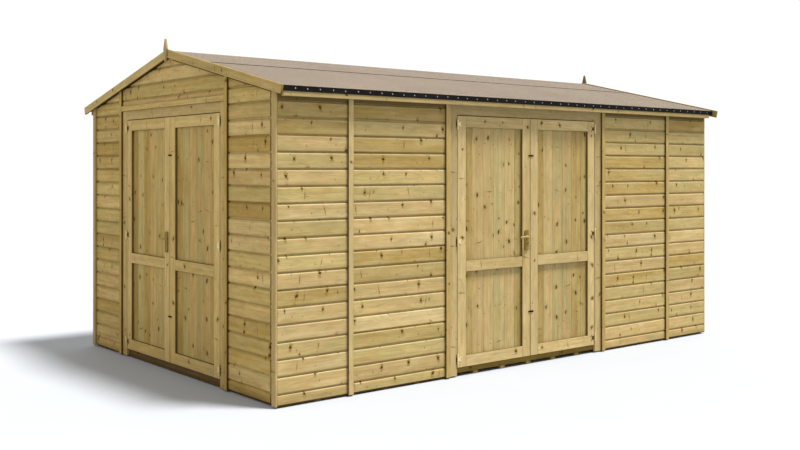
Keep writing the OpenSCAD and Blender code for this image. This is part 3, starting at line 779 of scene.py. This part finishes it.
# The battens under the eaves get painted shade
timber("eave_battens", ["eaves_battens"], trim_wood, "strips", 33, ease=0.0015, shade=even(0.42),
       reach=lambda co: CLAD_T if co.y < FRONT_SIDE else 0.0)
timber("barge_boards", ["bargeboards"], trim_wood, "bargeboards", 34, ease=0.0018, shade=barge_shade)
timber("finial_boards", ["finials"], trim_wood, "bargeboards", 35, ease=0.0008, shade=finial_shade)


def felt_sheet(name, node):
    """A sheet with grit on top and black edges and underside."""
    bm = solid_copy(node)
    for face in bm.faces:
        face.material_index = 0 if face.normal.z > 0.5 else 1
    mesh = bpy.data.meshes.new(name)
    bm.to_mesh(mesh)
    bm.free()
    piece = link(name, mesh, "shed", "felt", mineral_felt, bitumen_edge)
    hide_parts(node)


felt_sheet("felt_lower_sheets", "lower_felt")
felt_sheet("felt_upper_sheet", "upper_felt")

# Doors

NEAR_STILE, FAR_STILE = MEET + STILE, DOOR_HALF - STILE
PANEL_CHAMFER = 0.002


def outward(wall):
    """The direction out of a doorway's wall."""
    return X if wall == "side" else -Y


def on_wall(wall, out, along, z):
    """A place on a doorway's wall: out from its face, to the right from the doors' middle, and up."""
    return Vector((HALF_W + out, along, z)) if wall == "side" else Vector((SHIFT + along, -HALF_L - out, z))


def wall_place(wall, p):
    """How far a point lies out from a doorway's wall and along it."""
    return (p.x - HALF_W, p.y) if wall == "side" else (-HALF_L - p.y, p.x - SHIFT)


def door_joints(first, sign, middle, axis):
    """Cutting planes at a leaf's board joints, counted from its meeting edge."""
    places = [MEET + first + BOARD * i + JOINT_CUT for i in range(BOARD_JOINTS)]
    return [(axis * (middle + sign * place), axis) for place in places]


def panel_edge(wall, sign):
    """A test for the front edges of a leaf's stiles and rails that border its boards."""
    inner = sorted(sign * a for a in (NEAR_STILE, FAR_STILE))

    def test(a, b):
        upright = abs(a.z - b.z) > 1.0
        for p in (a, b):
            out, along = wall_place(wall, p)
            between = inner[0] - 0.001 < along < inner[1] + 0.001 and LEAF_Z + 0.01 < p.z < LEAF_TOP - 0.01
            beside = upright and min(abs(along - i) for i in inner) < 0.001
            if abs(out) > 1e-4 or not (between or beside):
                return False
        return True

    return test


def recess_shade(wall):
    """Painted shade on the sides of stiles and rails that face a door's boards, none on faces and outer
    edges.
    """
    rim = 0.0015

    def shade(vert, axes):
        along = abs(wall_place(wall, vert.co)[1])
        stile = min(abs(along - NEAR_STILE), abs(along - FAR_STILE)) < rim
        rail = NEAR_STILE - rim < along < FAR_STILE + rim and LEAF_Z + rim < vert.co.z < LEAF_TOP - rim
        face = any(f.normal.dot(outward(wall)) > 0.9 for f in vert.link_faces)
        return 0.9 if (stile or rail) and not face else 0.0

    return shade


for wall, middle, axis, seed in (("front", SHIFT, X, 40), ("side", 0.0, Y, 50)):
    for (hand, sign), first in zip(HANDS, (LEFT_JOINT, RIGHT_JOINT)):
        leaf, body = f"{wall}_{hand}", f"{wall}_{hand}_door"
        timber(f"{leaf}_leaf_frame", [f"{leaf}_frame"], frame_wood, "door_frame", seed + sign, body,
               ease=0.0004, chamfer=(panel_edge(wall, sign), PANEL_CHAMFER), shade=recess_shade(wall),
               stock=on_shaded_front)
        timber(f"{leaf}_leaf_boards", [f"{leaf}_boards"], door_wood, "door_boards", seed + 5 + sign, body,
               planes=door_joints(first, sign, middle, axis), ease=0.0007, along=Z, thin=outward(wall),
               stock=on_shaded_front)

# Fittings

# Hinges whose flat wings get painted shade
DARK_HINGES = ("jamb_hinges", "front_left_hinges", "side_right_hinges")
for node, solid in NODES.items():
    if node.endswith("_hinges"):
        finish = shaded_wing_brass if node in DARK_HINGES else brass
    elif node.endswith("_plate"):
        finish = plate_brass
    elif node.endswith("_lever"):
        finish = brass
    else:
        continue
    solid.data.materials.clear()
    solid.data.materials.append(finish)
    if not node.endswith("_hinges"):
        easing = solid.modifiers.new("easing", "BEVEL")
        easing.width = 0.0005
        easing.segments = 2
        easing.limit_method = "ANGLE"
        easing.angle_limit = 0.6

# Screws: the most that a slot is turned, radii, and a head's half section as shares of its radius
SCREW_TURN = 3.1
HINGE_SCREW_R, SCREW_R = 0.0028, 0.0036
SCREW_SECTION = ((1.0, -0.12), (1.0, 0.10), (0.72, 0.22), (0.3, 0.28))
# Places of screws from a hinge's axis and middle, and on the lock's plate from its spindle
JAMB_SCREWS = ((0.0095, 0.022), (0.0095, -0.022))
LEAF_SCREWS = ((0.030, 0.011), (0.030, -0.011), (0.016, 0.0))
PLATE_SCREWS = (0.041, -0.092)
# Tip of a hinge pin: height over the knuckle, and the radius as a share of the knuckle's
PIN_TIP = (
    (0.0, 0.8), (0.0012, 0.95), (0.0026, 0.62), (0.0036, 0.62), (0.0052, 0.86), (0.0068, 0.72),
    (0.0080, 0.30),
)
# Lever: its boss by place out and radius, the points of its bar out, along and up from the spindle, and the
# bar's radius at shares of its length
LEVER_BOSS = ((0.0095, 0.0125), (0.011, 0.0125), (0.014, 0.0105), (0.016, 0.0075))
LEVER_BAR = (
    (0.010, 0.0, 0.0), (0.024, 0.0, 0.0), (0.0335, -0.004, 0.0), (0.0375, -0.014, 0.0),
    (0.038, -0.035, 0.0005), (0.0375, -0.060, 0.0005), (0.0355, -0.080, -0.001), (0.032, -0.0915, -0.003),
)
LEVER_SHARES, LEVER_RADII = (0, 0.3, 0.45, 0.7, 0.95, 1.0), (0.0058, 0.0058, 0.0066, 0.0070, 0.0062, 0.0030)
# Turn buttons: heights, half their straight length, their ends' radius, the places of their middle and screw
# along and of the screw out, and the outline's growth at each place out
BUTTON_Z = (1.575, 0.40)
BUTTON_HALF, BUTTON_R, BUTTON_SIDES = 0.022, 0.0055, 28
BUTTON_MIDDLE, BUTTON_SCREW, BUTTON_TOP = 0.006, 0.012, 0.0056
BUTTON_SECTION = ((-0.0004, 0.0008), (0.0, 0.0012), (0.0, 0.0042), (-0.0012, 0.0054))
# Key: its stem by place out and radius, then its bow's middle, half width, half height and wire
KEY_STEM = ((-0.006, 0.0028), (0.010, 0.0028), (0.020, 0.0028), (0.024, 0.0036))
BOW_OUT, BOW_HALF_W, BOW_HALF_H, BOW_R, BOW_STEPS = 0.0335, 0.0095, 0.0105, 0.0024, 24
# Clout nails: how many a side, the gaps to the felt's ends, the height and a head's radius at each place out
NAILS, NAIL_SIDES = 46, 10
NAIL_START, NAIL_ENDS = 0.082, 0.137
NAIL_Z = RIDGE - SLOPE * FELT_EDGE - FELT_SINK - FELT_DROP / 2
NAIL_HEAD = ((0.0048, -0.0004), (0.0048, 0.0006), (0.0035, 0.0013), (0.0013, 0.0016))
NAIL_STRAY_Y, NAIL_STRAY_Z = 0.006, 0.002

chance = random.Random(7)


def skin(bm, rows):
    """Faces between closed rings of points, with a cap at each end."""
    for a, b in zip(rows, rows[1:]):
        for k in range(len(a)):
            after = (k + 1) % len(a)
            bm.faces.new((a[k], a[after], b[after], b[k]))
    bm.faces.new(rows[0][::-1])
    bm.faces.new(rows[-1])


def tube(bm, path, radii, sides, start=Z):
    """A round bar along a path of points, with a radius at each. start is an axis to turn its rings by."""
    rows = []
    for i, p in enumerate(path):
        before, after = path[max(i - 1, 0)], path[min(i + 1, len(path) - 1)]
        along = (after - before).normalized()
        side = along.cross(start)
        side = side.normalized() if side.length > 1e-4 else along.orthogonal().normalized()
        up = side.cross(along).normalized()
        row = []
        for k in range(sides):
            t = 2 * math.pi * k / sides
            row.append(bm.verts.new(p + side * radii[i] * math.cos(t) + up * radii[i] * math.sin(t)))
        rows.append(row)
    skin(bm, rows)


def smooth_path(points, steps=6):
    """A curve through the points."""
    out = []
    last = len(points) - 1
    for i in range(last):
        p0, p1, p2, p3 = (points[min(max(i + k, 0), last)] for k in (-1, 0, 1, 2))
        for j in range(steps):
            t = j / steps
            bend = (2 * p0 - 5 * p1 + 4 * p2 - p3) * t * t
            twist = (3 * p1 - p0 - 3 * p2 + p3) * t ** 3
            out.append(0.5 * (2 * p1 + (p2 - p0) * t + bend + twist))
    return out + [points[-1]]


def piece_from(bm, name, body, slot, material, smooth=True):
    """A piece of new geometry, smooth but for its sharp edges."""
    bmesh.ops.recalc_face_normals(bm, faces=bm.faces)
    mesh = bpy.data.meshes.new(name)
    bm.to_mesh(mesh)
    bm.free()
    piece = link(name, mesh, body, slot, material)
    if smooth:
        mesh.shade_smooth()
        mesh.set_sharp_from_angle(angle=0.7)
    return piece


def screw_head(bm, centre, out, r):
    """A domed screw head in two halves with a slot between them, turned by chance."""
    side = out.orthogonal().normalized()
    side.rotate(Matrix.Rotation(chance.uniform(0, SCREW_TURN), 3, out))
    up = out.cross(side)
    gap = 0.16 * r
    steps = 8
    for sign in (-1, 1):
        rows = []
        for radius, height in SCREW_SECTION:
            row = []
            for k in range(steps + 1):
                t = math.pi * k / steps
                x, y = radius * r * math.cos(t), max(radius * r * math.sin(t), gap)
                row.append(bm.verts.new(centre + side * x + up * sign * y + out * height * r))
            rows.append(row)
        skin(bm, rows)


def hinge_screws(wall):
    """Screws in the hinges' wings, on the jambs and on the leaves."""
    for hand, sign in HANDS:
        leaf = f"{wall}_{hand}_door"
        for body, where, spots in (("shed", 1, JAMB_SCREWS), (leaf, -1, LEAF_SCREWS)):
            bm = bmesh.new()
            for z in HINGE_Z:
                for du, dz in spots:
                    place = on_wall(wall, WING_T, sign * (AXIS + where * du), z + dz)
                    screw_head(bm, place, outward(wall), HINGE_SCREW_R)
            piece_from(bm, f"{wall}_{hand}_screws_{body}", body, "brass", brass, smooth=False)


def hinge_tips(wall):
    """Tips on the hinge pins, above and below."""
    bm = bmesh.new()
    for _, sign in HANDS:
        for z in HINGE_Z:
            for end in (-1, 1):
                heights = [z + end * (KNUCKLE / 2 + h) for h, _ in PIN_TIP]
                path = [on_wall(wall, KNUCKLE_R, sign * AXIS, height) for height in heights]
                tube(bm, path, [KNUCKLE_R * r for _, r in PIN_TIP], sides=14, start=X)
    piece_from(bm, f"{wall}_hinge_tips", "shed", "brass", brass)


def lever_bar(wall):
    """Lever with a boss at its spindle and a drooping end."""
    bm = bmesh.new()
    boss = [on_wall(wall, out, SPINDLE, LEVER_Z) for out, _ in LEVER_BOSS]
    tube(bm, boss, [r for _, r in LEVER_BOSS], sides=24)
    path = smooth_path([on_wall(wall, out, SPINDLE + along, LEVER_Z + up) for out, along, up in LEVER_BAR])
    tube(bm, path, np.interp(np.linspace(0, 1, len(path)), LEVER_SHARES, LEVER_RADII), sides=16)
    piece = piece_from(bm, f"{wall}_lever_bar", f"{wall}_handle", "brass", lever_brass)
    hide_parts(f"{wall}_lever")


def plate_screws(wall):
    """Screws above and below on the lock's plate."""
    bm = bmesh.new()
    for dz in PLATE_SCREWS:
        screw_head(bm, on_wall(wall, PLATE_T, SPINDLE, LEVER_Z + dz), outward(wall), SCREW_R)
    piece_from(bm, f"{wall}_plate_screws", f"{wall}_left_door", "brass", plate_brass, smooth=False)


def turn_buttons(wall):
    """Turn buttons across the meeting line, carried by the right leaf."""
    bm = bmesh.new()
    rim = []
    for k in range(BUTTON_SIDES):
        t = 2 * math.pi * k / BUTTON_SIDES
        x = math.copysign(BUTTON_HALF, math.cos(t)) + BUTTON_R * math.cos(t)
        rim.append((x, BUTTON_R * math.sin(t)))
    for z in BUTTON_Z:
        rows = []
        for grow, out in BUTTON_SECTION:
            row = []
            for x, y in rim:
                along = BUTTON_MIDDLE + x + grow * math.copysign(1, x)
                up = z + y + grow * math.copysign(1, y)
                row.append(bm.verts.new(on_wall(wall, out, along, up)))
            rows.append(row)
        skin(bm, rows)
        screw_head(bm, on_wall(wall, BUTTON_TOP, BUTTON_SCREW, z), outward(wall), SCREW_R)
    piece_from(bm, f"{wall}_turn_buttons", f"{wall}_right_door", None, black_iron)


def side_key():
    """Key standing in the side lock."""
    bm = bmesh.new()
    stem = [on_wall("side", out, SPINDLE, KEYHOLE_Z) for out, _ in KEY_STEM]
    tube(bm, stem, [r for _, r in KEY_STEM], sides=12)
    bow = []
    for k in range(BOW_STEPS + 1):
        t = 2 * math.pi * k / BOW_STEPS
        out = BOW_OUT + BOW_HALF_W * math.cos(t)
        bow.append(on_wall("side", out, SPINDLE, KEYHOLE_Z + BOW_HALF_H * math.sin(t)))
    tube(bm, bow, [BOW_R] * len(bow), sides=10, start=Y)
    piece_from(bm, "side_key", "side_left_door", None, key_steel)


def clout_nails():
    """Nails along the felt's turned-down edges."""
    bm = bmesh.new()
    turns = [2 * math.pi * k / NAIL_SIDES for k in range(NAIL_SIDES)]
    for sign in (-1, 1):
        for i in range(NAILS):
            y = -HALF_L + NAIL_START + (2 * HALF_L - NAIL_ENDS) * i / (NAILS - 1)
            y += chance.uniform(-NAIL_STRAY_Y, NAIL_STRAY_Y)
            z = NAIL_Z + chance.uniform(-NAIL_STRAY_Z, NAIL_STRAY_Z)
            rows = []
            for r, out in NAIL_HEAD:
                x = sign * (FELT_EDGE + out)
                rows.append([bm.verts.new((x, y + r * math.cos(t), z + r * math.sin(t))) for t in turns])
            skin(bm, rows)
    piece_from(bm, "clout_nails", "shed", None, zinc)


for wall in ("front", "side"):
    hinge_screws(wall)
    hinge_tips(wall)
    lever_bar(wall)
    plate_screws(wall)
    turn_buttons(wall)
side_key()
clout_nails()

# Light: a soft white room, with a bright wall behind the shed and one before the gable, and a key light

VAULT, WALL_GLOW = 0.62, 0.42
WALLS = (((-0.777, 0.63, 0.0), 0.25, 0.6), ((0.0, -1.0, 0.0), 0.35, 0.95))
KEY_RISE, KEY_BEARING, KEY_SPREAD = math.radians(68.5), math.radians(40.0), math.radians(12.0)
KEY_ENERGY = 6.0
FLOOR_TINTS = [(0.3, (0.390, 0.406, 0.428)), (0.7, (0.400, 0.416, 0.438))]
FLOOR_HALF = 60.0

scene = bpy.context.scene
scene.world = bpy.data.worlds.new("studio")
n = Nodes(scene.world)
toward = n.add("ShaderNodeTexCoord").outputs["Generated"]
glows = []
for direction, low, high in WALLS:
    glows.append(n.smooth(n.vector("DOT_PRODUCT", toward, direction), low, high, 0.0, WALL_GLOW))
background = n.tree.nodes["Background"]
n.put(background.inputs["Color"], (1.0, 1.0, 1.0))
n.put(background.inputs["Strength"], n.plus(n.plus(*glows), VAULT))

sun = bpy.data.objects.new("key", bpy.data.lights.new("key", "SUN"))
sun.data.energy = KEY_ENERGY
sun.data.angle = KEY_SPREAD
level = math.cos(KEY_RISE)
source = Vector((math.cos(KEY_BEARING) * level, math.sin(KEY_BEARING) * level, math.sin(KEY_RISE)))
sun.rotation_euler = (-source).to_track_quat("-Z", "Y").to_euler()
scene.collection.objects.link(sun)

# Floor of the studio

n = new_material("studio_floor")
pale = n.finish(Base_Color=n.ramp(n.noise(n.place(), 0.8), FLOOR_TINTS), Roughness=0.9)
bm = bmesh.new()
bmesh.ops.create_grid(bm, x_segments=8, y_segments=8, size=FLOOR_HALF)
mesh = bpy.data.meshes.new("studio_floor")
bm.to_mesh(mesh)
bm.free()
mesh.materials.append(pale)
ground = bpy.data.objects.new("studio_floor", mesh)
scene.collection.objects.link(ground)

# Camera, solved from the photograph's lap lines, corners and doorways

camera = bpy.data.objects.new("camera", bpy.data.cameras.new("camera"))
camera.data.sensor_width = 36.0
camera.data.lens = 45.11
camera.data.shift_x = 0.00075
camera.data.shift_y = -0.0712
camera.data.clip_end = 500.0
camera.location = (6.6877, -5.5366, 1.4821)
camera.rotation_euler = (math.radians(90), 0.0, math.radians(50.97))
scene.collection.objects.link(camera)
scene.camera = camera
scene.view_settings.view_transform = "Standard"
scene.view_settings.look = "None"
